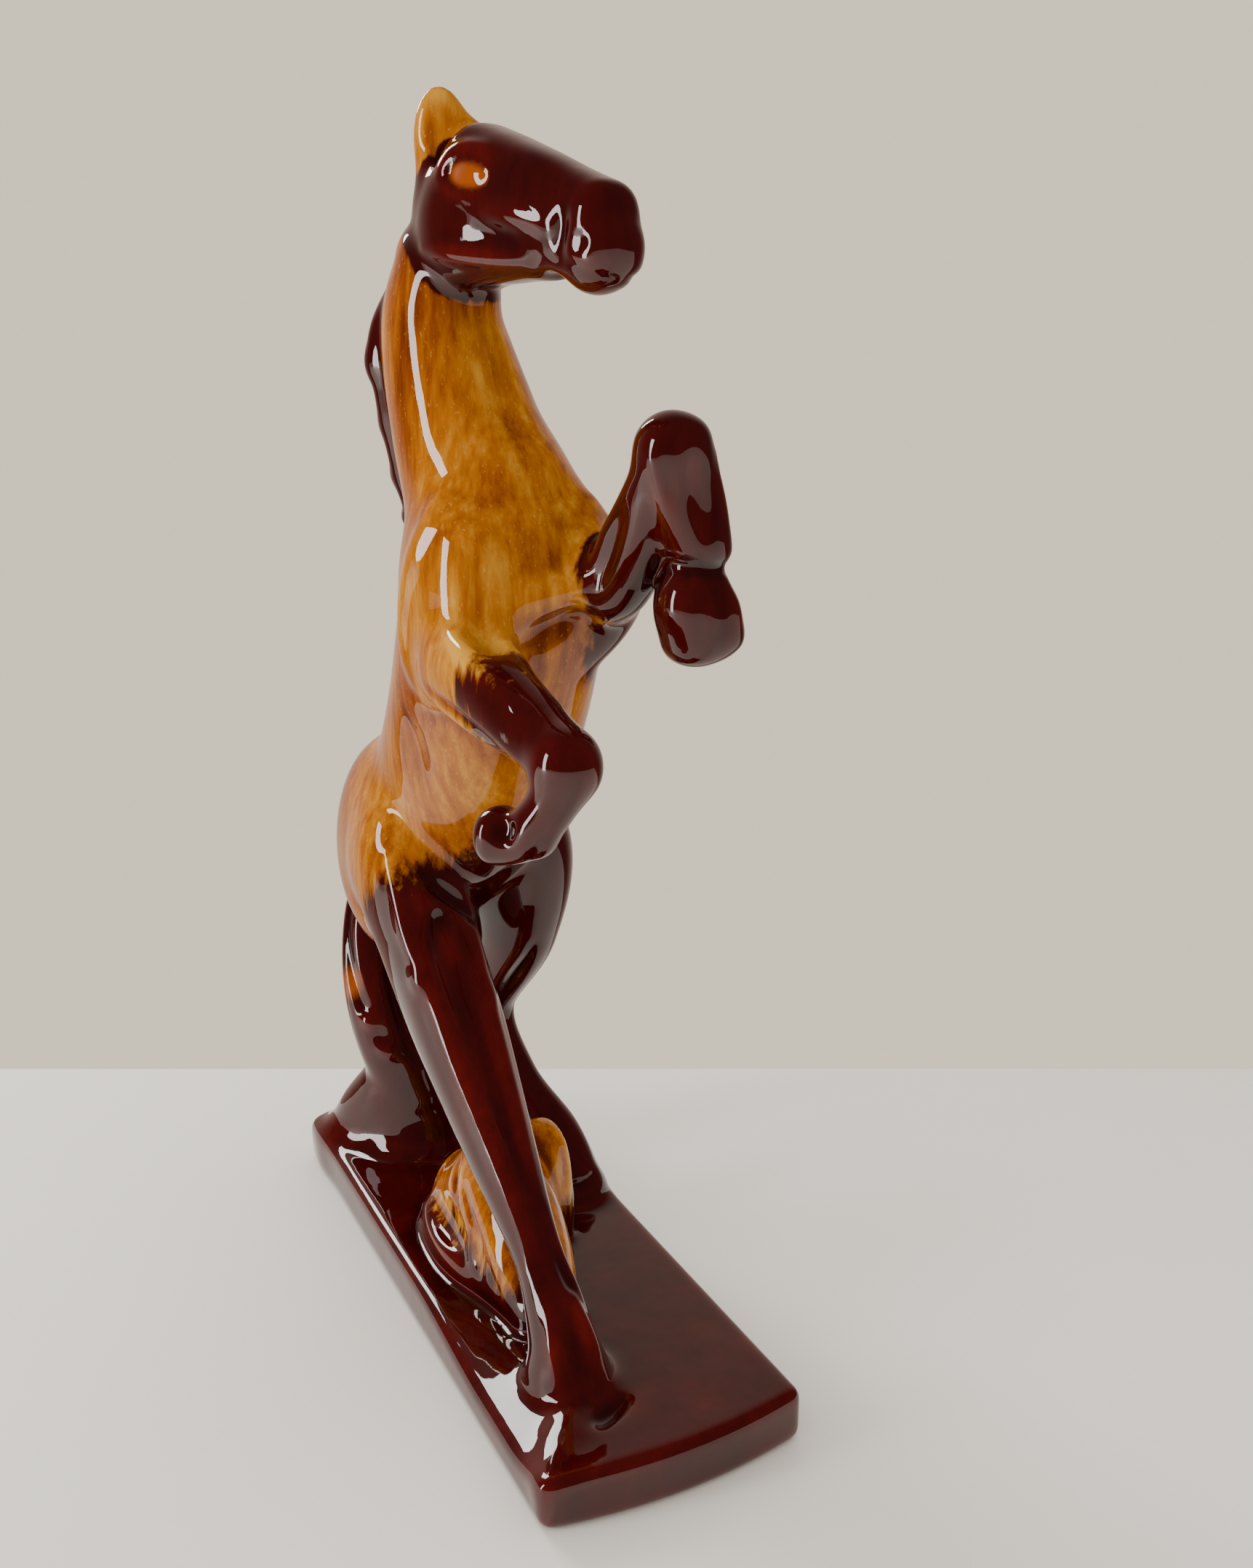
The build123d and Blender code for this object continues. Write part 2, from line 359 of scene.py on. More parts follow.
def neck_forms():
    return [
        Limb(NECK, blend=8),
        # the windpipe's edge, from the throat down to the breast
        groove([(-4, -6, 244), (-3, -5, 232), (-1.5, -7, 218), (1, -12, 206)], 2.6, 1.0, blend=4),
    ]


# The head's own directions, from the middle of its cheeks.
HEAD_AT = np.array((-5.0, -2.0, 262.0))
AHEAD = unit((0.241, -0.943, -0.230))
LEFTWARD = unit((0.969, 0.248, 0))
SKYWARD = np.cross(AHEAD, LEFTWARD)


def in_head(left, ahead, up):
    return HEAD_AT + LEFTWARD * left + AHEAD * ahead + SKYWARD * up


def face(kind, left, ahead, up, half_sizes, *args, tilt=0.0, **more):
    """A form on the head, its half sizes given leftward, skyward and ahead, nose end tilted up."""
    aim = AHEAD + SKYWARD * tilt
    return kind(in_head(left, ahead, up), half_sizes, *args, aim=aim, side=LEFTWARD, **more)


def head_forms():
    forms = [
        Limb(HEAD, side=LEFTWARD, blend=4, cap=0.85, square=2.6),
        face(egg, 0, 45.2, -1.8, (7.8, 7.6, 7.2), blend=3, square=2.3),
        face(egg, 0, 42.6, -7.2, (5.4, 3.8, 5.4), blend=3),
        face(hollow, 0, 35, -12, (9, 4.0, 4.4), 2.4, blend=3),
    ]
    for side in (-1, 1):
        forms += [
            face(egg, side * 5.2, 0.5, -4.5, (7.4, 12.5, 12.5), blend=4),
            ridge([in_head(side * 10.5, -3, -10), in_head(side * 10, 6, -9.4), in_head(side * 8.6, 18, -8.6),
                   in_head(side * 7.4, 29, -7.4)], 2.0, 1.5, blend=2),
            ridge([in_head(side * 10.6, 12, 1.0), in_head(side * 9.4, 24, 1.4), in_head(side * 8.2, 36, 1.0)],
                  2.6, 1.1),
            face(hollow, side * 9.6, 24, -3.6, (2.6, 2.6, 11), 0.9, thick=0, blend=3),
            face(hollow, side * 8.6, 39.6, 0, (3.0, 7, 2.4), 1.2, thick=0, blend=3),
            face(hollow, side * 10.4, 9.9, 7.2, (3.6, 4.6, 8.6), 1.4, thick=0, tilt=0.05, blend=2),
            face(bump, side * 10.4, 9.9, 7.0, (3.4, 3.4, 7.0), 0.9, thick=0, tilt=0.05, blend=1.0),
            ridge([in_head(side * 10, 0.5, 6), in_head(side * 9.6, 3.5, 10.4), in_head(side * 9, 10, 12.0),
                   in_head(side * 8.6, 16, 9.8)], 1.8, 1.1),
            ridge([in_head(side * 11, 2, 3.6), in_head(side * 10.6, 9, 2.4), in_head(side * 10, 16, 4.0)],
                  1.5, 0.9),
            face(hollow, side * 7.6, 45.6, -0.4, (2.4, 2.6, 3.2), 0.9, thick=0, turn="last", tilt=0.4,
                 blend=2.5),
            groove([in_head(side * 8.0, 40, -5.2), in_head(side * 7.9, 44, -5.6),
                    in_head(side * 6.2, 48, -6.0), in_head(side * 1.0, 52, -6.2)], 1.0, 0.8),
        ]
    return forms


SIDEWAYS = (0.89, -0.455, 0)


def ear_right_forms():
    return [
        egg((-11.0, 4.0, 274.6), (6.6, 3.4, 12.4), aim=(-0.08, -0.06, 1), side=SIDEWAYS, blend=3),
        hollow((-12.8, -1.0, 276.5), (4.6, 3.0, 8.0), 0.9, aim=(-0.06, -0.1, 1), side=SIDEWAYS, blend=3),
    ]


def ear_left_forms():
    return [egg((-5.6, 1.2, 273.6), (5.6, 3.4, 9.8), aim=(-0.62, 0.32, 0.75), side=SIDEWAYS, blend=4)]


def mane_forms():
    """The mane lies on the neck and stands out behind it in scalloped locks."""
    forms = [Limb(MANE, blend=3)]
    for x, z, size in ((-17.5, 229, 7.0), (-14.6, 215, 6.4), (-12.2, 202, 5.6), (-9.8, 191, 4.6)):
        forms.append(egg((x, 30, z), (5.6, 4.6, size), aim=(0.15, 0, 1), blend=2))
    for x in (-16, -10, -4):
        line = [(x, 40, 244), (x - 2, 40, 230), (x, 40, 214), (x + 1, 40, 196)]
        forms.append(groove(line, 1.8, 1.2, blend=2))
    return forms


def tail_forms():
    return [
        Limb(TAIL, blend=5),
        groove([(-22, 76, 84), (-24, 72, 66), (-21, 66, 48), (-16, 60, 34)], 1.8, 1.2, blend=2.5),
        groove([(-12, 62, 76), (-14, 58, 60), (-13, 54, 44), (-10, 50, 30)], 1.6, 1.1, blend=2.5),
        groove([(2, 80, 84), (0, 80, 66), (-1, 76, 46), (0, 70, 30)], 1.8, 1.2, blend=2.5),
        groove([(-10, 88, 84), (-12, 88, 66), (-10, 84, 46), (-7, 76, 28)], 1.8, 1.2, blend=2.5),
        bump((-21, 60, 42), (4, 4, 2.6), 1.4, aim=(0.3, -0.3, 0.9), blend=2.5),
        bump((-18, 54, 34), (4, 4, 2.6), 1.4, aim=(0.3, -0.3, 0.9), blend=2.5),
    ]


def foreleg_left_forms():
    return [
        Limb(ARM_LEFT, blend=3.5),
        Limb(CANNON_LEFT, blend=4, square=2.4, cap=0.8),
        egg((19.6, -46.6, 209.5), (7.3, 7.6, 8.4), blend=5),
        egg((18.0, -15, 171.5), (7.6, 10, 15), aim=(-0.45, 0.35, -0.82), blend=7),
        # the hollow inside of the forearm, the flat of the cannon, and the band of the pastern
        hollow((9.5, -36, 187), (4.4, 3.6, 15), 2.0, thick=0, aim=(0.12, -0.6, 1), blend=3),
        hollow((22.6, -56, 199), (4.8, 5, 14), 1.3, aim=(0.2, 0, -1), blend=2),
        ridge([(14.6, -50, 209), (16.4, -51.6, 198), (18.8, -52.6, 188)], 1.8, 1.3, blend=2),
        ridge([(27.0, -51, 209), (29.8, -51.4, 198), (32.2, -51.4, 188)], 1.8, 1.3, blend=2),
        groove([(18.0, -46, 186), (20.6, -52.6, 185.4), (26, -54.6, 185), (31.6, -50.0, 185)], 2.0, 0.9),
        ridge([(23.4, -54, 183), (24.2, -56.4, 176), (25.4, -56.6, 168)], 1.7, 0.8),
        ridge([(31, -54, 183), (32.6, -55.4, 176), (34.6, -54.6, 168)], 1.7, 0.8),
    ]


def foreleg_right_forms():
    return [
        Limb(ARM_RIGHT, blend=5, square=2.3),
        Limb(CANNON_RIGHT, blend=3, square=2.3, cap=0.8),
        egg((-12.8, -62, 147.5), (7.0, 7.4, 7.8), blend=5),
        egg((-18.4, -57.6, 131.6), (5.0, 5.2, 4.6), blend=2.5),
        hollow((-24, -56, 133), (3.4, 3.0, 3.4), 1.4, aim=(0, 0, 1), blend=2),
        groove([(-17.6, -64, 135), (-20.2, -62.6, 130), (-19.4, -59.6, 124)], 1.4, 1.0),
        # the forearm swells at its root and has an edge above and below its outer side
        egg((-19.5, -24, 162.5), (5.5, 14, 6.0), aim=(0, -0.1, 1), blend=4),
        ridge([(-22, -18, 170), (-22, -34, 165), (-19, -50, 158.5)], 2.2, 1.4, blend=2),
        groove([(-26, -14, 157), (-25, -28, 153), (-22, -42, 149), (-19, -54, 145)], 1.8, 1.3, blend=2),
        ridge([(-24, -18, 152), (-22, -32, 148), (-18, -46, 143.5)], 2.0, 1.0, blend=2),
    ]


def hind_leg_right_forms():
    return [
        Limb(HIND_LEG_RIGHT, blend=7, square=2.4),
        egg((-23, 26, 108), (6, 6.5, 9), blend=6),
        # two ridges run down from the stifle and from the groin, with a hollow plank between
        hollow((-17, -12, 75), (5.5, 4.4, 26), 1.6, aim=(0.05, -0.68, -0.73), blend=4),
        hollow((-15, -32, 47), (3.6, 3.6, 14), 1.0, aim=(0.05, -0.68, -0.73), blend=3),
        ridge([(-27, 16, 106), (-26, 6, 90), (-24, -6, 77), (-22.5, -18, 63), (-19.5, -31, 49),
               (-17.5, -43, 35), (-17, -50, 27)], 2.4, 1.3, blend=3),
        ridge([(-5, 2, 90), (-8.5, -9, 80), (-9.5, -19, 66), (-10.5, -30, 52), (-11.5, -43, 37)],
              2.2, 1.2, blend=3),
        groove([(-15.5, 0, 88), (-15.8, -12, 74), (-15.0, -24, 60), (-14.6, -34, 48)], 1.5, 0.9, blend=2),
        bump((-26.0, -2, 80), (3.2, 3.4, 5), 1.4, thick=0, aim=(0, -0.68, -0.73), blend=3),
        bump((-8, -12, 79), (3.2, 3.2, 5), 1.3, thick=0, aim=(0, -0.68, -0.73), blend=3),
        # the flank's crease, the slit beside the tendon, and the hoof's flare and ridges
        groove([(-23, 14, 107), (-18, 9, 100), (-10, 6, 93), (-3, 6, 88)], 2.4, 1.8, blend=2.5),
        groove([(-9.5, -50, 35), (-9, -55.5, 27), (-8.4, -60, 19), (-8.2, -64, 12)], 1.6, 1.4),
        egg((-13.4, -60, 1.5), (9.4, 8.8, 6.5), blend=4),
        ridge([(-16.5, -57, 20), (-18.2, -63.5, 11), (-18.8, -68.2, 2)], 1.8, 1.3, blend=2.5),
        ridge([(-9.6, -59, 20), (-8.6, -65, 11), (-7.6, -68.2, 2)], 1.8, 1.3, blend=2.5),
        hollow((-13.2, -68, 12), (2.6, 3, 8), 0.8, aim=(0, -0.5, -1), blend=2.5),
    ]


def hind_leg_left_forms():
    return [
        Limb(HIND_LEG_LEFT, blend=6, square=2.2),
        egg((8.5, 43.5, 50), (6.6, 8, 9), blend=4),
        groove([(14, 18, 74), (9.5, 26, 60), (7, 32, 48)], 2.2, 1.4, blend=3),
        egg((22, 13, 1.5), (9.6, 10, 6), blend=4),
        groove([(14, 52, 60), (16, 44, 44), (20, 32, 28)], 1.6, 1.0, blend=3),
        groove([(28, 6, 8), (20, 3, 7), (13, 8, 7)], 1.2, 0.8),
    ]


def rock_forms():
    return [
        Limb([(-9, -38, 3, 9, 8), (-9, -25, 8, 12.5, 16), (-8, -10, 9, 13.5, 24), (-8, 10, 3, 13, 18)],
             blend=4),
        egg((6.2, -3, 13), (7.8, 9, 20), aim=(0.0, 0.08, 1), blend=3, square=2.4),
        # a lip of rock stands out in a crescent along the right side
        Limb([(-15.5, 24, 1, 2, 3), (-20.5, 12, 3, 2.8, 5.5), (-22.5, -2, 3.5, 2.8, 5.5),
              (-21.5, -14, 2.5, 2.4, 4), (-17, -26, 1, 2, 3)], blend=3),
        hollow((-21, -2, 12), (3.6, 15, 6), 2.0, thick=0, blend=3),
        hollow((-20, -22, 12), (3.4, 4.6, 8), 2.2, thick=0, aim=(0, 0.5, 1), blend=2.5),
        groove([(-20.5, -9, 24), (-17.5, -20, 16), (-15.5, -32, 7)], 1.8, 1.3, blend=2.5),
        groove([(-19.5, 3, 28), (-19, -6, 16), (-18, -16, 8)], 1.8, 1.3, blend=2.5),
        groove([(10, -9, 31), (10.4, -14, 18), (9, -22, 6)], 1.4, 0.9, blend=2),
        groove([(11.6, -2, 30), (12.4, -7, 17), (12.2, -14, 5)], 1.4, 0.9, blend=2),
        groove([(11.6, 6, 27), (12.4, 4, 15), (12.2, 0, 5)], 1.4, 0.9, blend=2),
    ]


def bank_forms():
    """The ground swells up from both rear corners to carry the tail."""
    return [
        Limb([(-22.4, 80, -5, 9, 9), (-18.5, 74, 5.5, 10, 10), (-13, 67, 16, 11, 10)], blend=12),
        Limb([(20, 80, -8, 8, 8), (12, 75, 0, 9, 9), (2, 68, 9, 10, 10)], blend=12),
        egg((-5, 65, 0), (17, 18, 20), blend=12),
    ]


def plinth_forms():
    return [
        Slab(PLINTH_WIDTH, PLINTH_LENGTH, DECK / FIGURE_SCALE, bow=4.0, edge=2.4, fall=0.4, lean=4.0),
        # a low ridge runs from the hoof to the right front corner, and the deck falls away from it
        ridge([(-14, -66, -1), (-21, -76, -2), (-29, -86, -3)], 6, 1.3, blend=6),
        # a leaf-shaped dent before the hoof
        hollow((-9.8, -76, 0), (3.0, 2.4, 6.8), 2.2, thick=0, turn="last", aim=(0.75, 0.4, 0),
               side=(0, 0, 1), blend=1.2),
    ]


def castings():
    """Every casting's forms, by the name of its node."""
    return {
        "base_plinth": plinth_forms(),
        "rock": rock_forms(),
        "tail_bank": bank_forms(),
        "torso": torso_forms(),
        "neck": neck_forms(),
        "head": head_forms(),
        "ear_right": ear_right_forms(),
        "ear_left": ear_left_forms(),
        "mane": mane_forms(),
        "foreleg_left": foreleg_left_forms(),
        "foreleg_right": foreleg_right_forms(),
        "hind_leg_right": hind_leg_right_forms(),
        "hind_leg_left": hind_leg_left_forms(),
        "tail": tail_forms(),
    }


# ---------------------------------------------------------------- the clay itself
def press(a, b, blend):
    """The smooth union of two distances."""
    overlap = np.maximum(blend - np.abs(a - b), 0) / blend
    return np.minimum(a, b) - overlap ** 3 * blend / 6


def carve(a, b, blend):
    """Distance a with b cut out of it."""
    return -press(-a, b, blend)


class Clay:
    def __init__(self, low, high, step):
        self.low, self.step = np.array(low, float), step
        shape = np.ceil((np.array(high) - self.low) / step).astype(int) + 1
        self.field = np.full(shape, FAR, np.float32)

    def work(self, form):
        margin = form.blend + 3 * self.step
        first = np.floor((form.low - margin - self.low) / self.step).astype(int)
        last = np.ceil((form.high + margin - self.low) / self.step).astype(int) + 1
        first = np.clip(first, 0, self.field.shape)
        last = np.clip(last, 0, self.field.shape)
        window = tuple(slice(a, b) for a, b in zip(first, last))
        ticks = [self.low[k] + self.step * np.arange(first[k], last[k]) for k in range(3)]
        points = np.stack(np.meshgrid(*ticks, indexing="ij"), -1).reshape(-1, 3)
        shape = self.field[window].shape
        there = form.distance(points).astype(np.float32).reshape(shape)
        mix = carve if form.turn in ("cut", "last") else press
        self.field[window] = mix(self.field[window], there, form.blend)

    def soften(self, radius):
        """A small blur, as glaze rounds every edge and fills every crease."""
        reach = int(math.ceil(2.5 * radius / self.step))
        weights = np.exp(-0.5 * (np.arange(-reach, reach + 1) * self.step / radius) ** 2)
        weights /= weights.sum()
        near = np.clip(self.field, -8.0, 8.0)
        for axis in range(3):
            total = np.zeros_like(near)
            for offset, weight in zip(range(-reach, reach + 1), weights):
                total += np.float32(weight) * np.roll(near, offset, axis)
            near = total
        self.field = near

    def cut_level(self, height):
        """Cuts everything below a height away, flat."""
        z = self.low[2] + self.step * np.arange(self.field.shape[2])
        self.field = np.maximum(self.field, (height - z).astype(np.float32))

    def sample(self, points):
        q = (points - self.low) / self.step
        i = np.clip(np.floor(q).astype(int), 0, np.array(self.field.shape) - 2)
        f = q - i
        value = np.zeros(len(points))
        for a in (0, 1):
            for b in (0, 1):
                for c in (0, 1):
                    weight = np.abs(1 - a - f[:, 0]) * np.abs(1 - b - f[:, 1]) * np.abs(1 - c - f[:, 2])
                    value += weight * self.field[i[:, 0] + a, i[:, 1] + b, i[:, 2] + c]
        return value

    def slope(self, points):
        """The field's gradient, which points out of the clay."""
        reach = self.step
        parts = []
        for axis in range(3):
            shift = np.zeros(3)
            shift[axis] = reach
            parts.append(self.sample(points + shift) - self.sample(points - shift))
        return np.stack(parts, 1) / (2 * reach)

    def skin(self):
        """The surface, as points and quads: one point in each grid cell that the surface crosses."""
        field = self.field
        inside = field < 0
        size = np.array(field.shape)
        corners = [(a, b, c) for a in (0, 1) for b in (0, 1) for c in (0, 1)]
        some = np.zeros(size - 1, bool)
        every = np.ones(size - 1, bool)
        for a, b, c in corners:
            part = inside[a:size[0] - 1 + a, b:size[1] - 1 + b, c:size[2] - 1 + c]
            some |= part
            every &= part
        cells = np.argwhere(some & ~every)
        number = np.full(size - 1, -1, np.int64)
        number[tuple(cells.T)] = np.arange(len(cells))
        x, y, z = cells.T
        values = [field[x + a, y + b, z + c].astype(float) for a, b, c in corners]
        total = np.zeros((len(cells), 3))
        count = np.zeros(len(cells))
        for i in range(8):
            for j in range(i + 1, 8):
                p, q = np.array(corners[i], float), np.array(corners[j], float)
                if np.abs(p - q).sum() != 1:
                    continue
                crosses = (values[i] < 0) != (values[j] < 0)
                span = np.where(crosses, values[i] - values[j], 1.0)
                t = np.where(crosses, values[i] / span, 0.0)
                total += np.where(crosses[:, None], p + t[:, None] * (q - p), 0.0)
                count += crosses
        points = (cells + total / count[:, None]) * self.step + self.low
        quads = []
        for axis in range(3):
            u, v = (axis + 1) % 3, (axis + 2) % 3
            lower = [slice(None)] * 3
            upper = [slice(None)] * 3
            lower[axis], upper[axis] = slice(0, -1), slice(1, None)
            edges = np.argwhere(inside[tuple(lower)] != inside[tuple(upper)])
            out_of = inside[tuple(edges.T)]

            def cell(du, dv):
                index = edges.copy()
                index[:, u] += du
                index[:, v] += dv
                return number[tuple(index.T)]

            ring = np.stack([cell(-1, -1), cell(0, -1), cell(0, 0), cell(-1, 0)], 1)
            quads.append(np.where(out_of[:, None], ring, ring[:, ::-1]))
        return points, np.concatenate(quads)


def settle(clay, points, rounds=2):
    """Moves points along the slope onto the surface itself."""
    for _ in range(rounds):
        slope = clay.slope(points)
        size = np.maximum((slope ** 2).sum(1), 0.05)
        points = points - slope * (clay.sample(points) / size)[:, None]
    return points


def body_distance(group, points):
    total = np.full(len(points), FAR)
    for form in group:
        total = press(total, form.distance(points), form.blend)
    return total


def cling(everything):
    """Moves the forms that have a lift to that height over the rest of the clay."""
    bodies = [f for f in everything if f.turn == "body"]
    clinging = [f for f in everything if f.lift is not None]
    points = np.concatenate([f.knots for f in clinging])
    lifts = np.concatenate([np.full(len(f.knots), f.lift) for f in clinging])
    nudge = 0.4
    for _ in range(6):
        shifted = [points] + [points + nudge * axis for axis in np.eye(3)]
        near, *sides = np.split(body_distance(bodies, np.concatenate(shifted)), 4)
        slope = np.stack([side - near for side in sides], 1) / nudge
        slope /= np.maximum((slope ** 2).sum(1), 0.3)[:, None]
        points = points + slope * np.clip(lifts - near, -6, 6)[:, None]
    start = 0
    for form in clinging:
        form.place(points[start:start + len(form.knots)])
        start += len(form.knots)


def sculpt():
    """The whole figure's clay, with its castings' forms."""
    forms = castings()
    cling([form for group in forms.values() for form in group])
    low = np.min([f.low for group in forms.values() for f in group], axis=0) - 3
    high = np.max([f.high for group in forms.values() for f in group], axis=0) + 3
    floor = -DECK / FIGURE_SCALE
    low[2] = floor - 3.3 * GRID_STEP
    clay = Clay(low, high, GRID_STEP)
    for turn in ("body", "cut", "detail", "last"):
        for group in forms.values():
            for form in group:
                if form.turn == turn:
                    clay.work(form)
    clay.soften(SOFTEN)
    clay.cut_level(floor)
    return clay, forms


def owners(forms, points):
    """Which casting each point of the skin belongs to: the one whose own forms come nearest."""
    table = np.full((len(points), len(forms)), FAR)
    for k, group in enumerate(forms.values()):
        for form in group:
            if form.turn == "body":
                table[:, k] = np.minimum(table[:, k], form.distance(points))
    return table


# ---------------------------------------------------------------- parting the skin at the joints
def part_skin(points, quads, table):
    """Cuts the skin along the lines where two castings are equally near.

    Returns all the points, those on the cuts included, and each casting's triangles.
    """
    short = np.linalg.norm(points[quads[:, 0]] - points[quads[:, 2]], axis=1)
    other = np.linalg.norm(points[quads[:, 1]] - points[quads[:, 3]], axis=1)
    turned = np.where((short <= other)[:, None], quads, np.roll(quads, -1, axis=1))
    triangles = np.concatenate([turned[:, [0, 1, 2]], turned[:, [0, 2, 3]]])
    owner = table.argmin(axis=1)
    mine = owner[triangles]
    whole = (mine[:, 0] == mine[:, 1]) & (mine[:, 1] == mine[:, 2])
    pieces = [list(map(tuple, triangles[whole & (mine[:, 0] == k)])) for k in range(table.shape[1])]
    added, seams = [], {}

    def seam(a, b):
        key = (min(a, b), max(a, b))
        if key not in seams:
            a, b = key
            near_a = table[a, owner[a]] - table[a, owner[b]]
            near_b = table[b, owner[a]] - table[b, owner[b]]
            t = min(max(near_a / (near_a - near_b), 0.04), 0.96)
            seams[key] = len(points) + len(added)
            added.append(points[a] * (1 - t) + points[b] * t)
        return seams[key]

    for corners in triangles[~whole]:
        a, b, c = (int(i) for i in corners)
        if owner[a] == owner[b]:
            a, b, c = c, a, b
        elif owner[a] == owner[c]:
            a, b, c = b, c, a
        if owner[b] == owner[c]:
            ab, ac = seam(a, b), seam(a, c)
            pieces[owner[a]].append((a, ab, ac))
            pieces[owner[b]] += [(ab, b, c), (ab, c, ac)]
        else:
            middle = len(points) + len(added)
            added.append((points[a] + points[b] + points[c]) / 3)
            for p, q, r in ((a, b, c), (b, c, a), (c, a, b)):
                pieces[owner[p]] += [(p, seam(p, q), middle), (p, middle, seam(p, r))]
    return np.concatenate([points, np.array(added)]), pieces


def close(points, triangles):
    """Closes a piece's open rims, each with a fan to the rim's middle. Returns its own points and faces."""
    triangles = np.array(triangles)
    used, local = np.unique(triangles, return_inverse=True)
    faces = local.reshape(-1, 3)
    spots = points[used]
    edges = np.concatenate([faces[:, [0, 1]], faces[:, [1, 2]], faces[:, [2, 0]]])
    codes = edges[:, 0] * len(used) + edges[:, 1]
    mates = edges[:, 1] * len(used) + edges[:, 0]
    rim = edges[~np.isin(mates, codes)]
    parent = {int(i): int(i) for i in np.unique(rim)}

    def root(i):
        while parent[i] != i:
            parent[i] = parent[parent[i]]
            i = parent[i]
        return i

    for a, b in rim:
        parent[root(int(a))] = root(int(b))
    groups = {}
    for a, b in rim:
        groups.setdefault(root(int(a)), []).append((int(b), int(a)))
    middles, fans = [], []
    for group in groups.values():
        centre = len(spots) + len(middles)
        middles.append(spots[[a for a, _ in group]].mean(axis=0))
        fans += [(a, b, centre) for a, b in group]
    if middles:
        spots = np.concatenate([spots, np.array(middles)])
        faces = np.concatenate([faces, np.array(fans)])
    return used, spots, faces


# ---------------------------------------------------------------- what the glaze needs to know of the skin
def surface(clay, spots):
    """The outward direction at each point of the skin."""
    slope = clay.slope(spots)
    return slope / np.maximum(np.linalg.norm(slope, axis=1), 1e-6)[:, None]


def thinness(clay, spots, normals, reach=3.0):
    """How the skin bends at each point: above 0 on ridges, where glaze runs thin, below 0 in hollows."""
    ahead = clay.sample(spots + normals * reach)
    behind = clay.sample(spots - normals * reach)
    return np.clip((ahead + behind) / reach, -1, 1)


# ---------------------------------------------------------------- where each glaze was brushed
def dark_strokes():
    """The forms that the dark glaze was brushed over, how far past each it reaches, and how softly."""
    return [
        (Limb(MANE), 3, 1.5),
        (Limb(ARM_LEFT[2:]), 1.2, 1.5),
        (egg((25, -18, 167), (12, 16, 17)), 2, 6),
        (Limb(CANNON_LEFT), 8, 3),
        (Limb(ARM_RIGHT[2:]), 2, 4),
        (Limb(ARM_RIGHT[3:]), 8, 4),
        (Limb(CANNON_RIGHT), 8, 3),
        (Limb(HIND_LEG_RIGHT[2:]), 7.5, 7),
        (Limb(HIND_LEG_LEFT[1:]), 9, 8),
        (Limb(TAIL), 8, 4),
        (egg((-4, 6, 90), (15, 15, 17)), 2, 8),
    ]


def russet_and_sheen_strokes():
    """Where the dark glaze was wiped thin on both eyes, and an amber spot on the tail that is a painted
    reflection.
    """
    return [
        (face(egg, -10.4, 9.9, 6.7, (5, 2.3, 6.2), tilt=0.05), 0.1, 0.6),
        (face(egg, 10.4, 9.9, 6.7, (5, 2.3, 6.2), tilt=0.05), 0.1, 0.6),
        # a painted reflection: the amber oval that the glossy tail mirrors from the room
        (egg((-25, 68, 52), (6, 3.6, 4.4)), 0, 1.6),
    ]


def glaze_at(spots):
    """0 where the dark glaze is, 1 where the honey glaze is, and a soft border between."""
    honey = np.ones(len(spots))
    for form, past, soft in dark_strokes():
        honey = np.minimum(honey, 0.5 + (form.distance(spots) - past) / (2 * soft))
    heads = body_distance([form for form in head_forms() if form.turn == "body"], spots)
    honey = np.minimum(honey, 0.5 + (heads - 3.0) / 2.4)
    ears = body_distance([f for f in ear_right_forms() + ear_left_forms() if f.turn == "body"], spots)
    honey = np.maximum(honey, np.minimum(1.3 - ears / 1.5, 0.5 + (heads + 1.4) / 1.2))
    honey = np.minimum(honey, 0.5 + (spots[:, 2] - 40) / 16)
    rock = np.full(len(spots), FAR)
    for form in rock_forms():
        if form.turn == "body":
            rock = np.minimum(rock, form.distance(spots))
    legs = np.minimum(Limb(HIND_LEG_RIGHT).distance(spots), Limb(HIND_LEG_LEFT).distance(spots))
    on_rock = np.minimum(0.9 - rock / 3, 0.5 + (legs - 2.2) / 3)
    # the rock darkens toward the ground, sooner on its outer flanks than under the horse
    flank = np.abs(spots[:, 0] + 7)
    on_rock = np.minimum(on_rock, 0.62 + (spots[:, 2] - 5 - 0.62 * flank) / 22)
    honey = np.maximum(honey, on_rock)
    return np.clip(honey, 0, 1)


def russet_and_sheen_at(spots):
    """1 on the russet eyes and on the tail's painted reflection, 0 elsewhere."""
    russet_and_sheen = np.zeros(len(spots))
    for form, past, soft in russet_and_sheen_strokes():
        russet_and_sheen = np.maximum(russet_and_sheen, 0.5 - (form.distance(spots) - past) / (2 * soft))
    return np.clip(russet_and_sheen, 0, 1)


# ---------------------------------------------------------------- glaze
def node(tree, kind, inputs=(), **settings):
    """Adds a shader node. Each input is a value, or the socket that feeds it."""
    made = tree.nodes.new(kind)
    for name, value in settings.items():
        setattr(made, name, value)
    for key, value in dict(inputs).items():
        if isinstance(value, bpy.types.NodeSocket):
            tree.links.new(value, made.inputs[key])
        else:
            made.inputs[key].default_value = value
    return made


def noise(tree, place, stretch, scale, detail=3.0, roughness=0.55):
    """Noise stretched by different amounts along x, y and z, scaled per metre."""
    mapping = node(tree, "ShaderNodeMapping", {"Vector": place, "Scale": stretch})
    made = node(tree, "ShaderNodeTexNoise", {
        "Vector": mapping.outputs[0], "Scale": scale, "Detail": detail, "Roughness": roughness})
    return made.outputs["Fac"]


def ramp(tree, fac, stops):
    """A colour ramp through (place, colour) stops."""
    made = node(tree, "ShaderNodeValToRGB", {"Fac": fac})
    elements = made.color_ramp.elements
    while len(elements) < len(stops):
        elements.new(0.5)
    for element, (place, colour) in zip(elements, stops):
        element.position = place
        element.color = (*colour, 1)
    return made.outputs["Color"]


def sums(tree, operation, a, b):
    return node(tree, "ShaderNodeMath", {0: a, 1: b}, operation=operation).outputs[0]


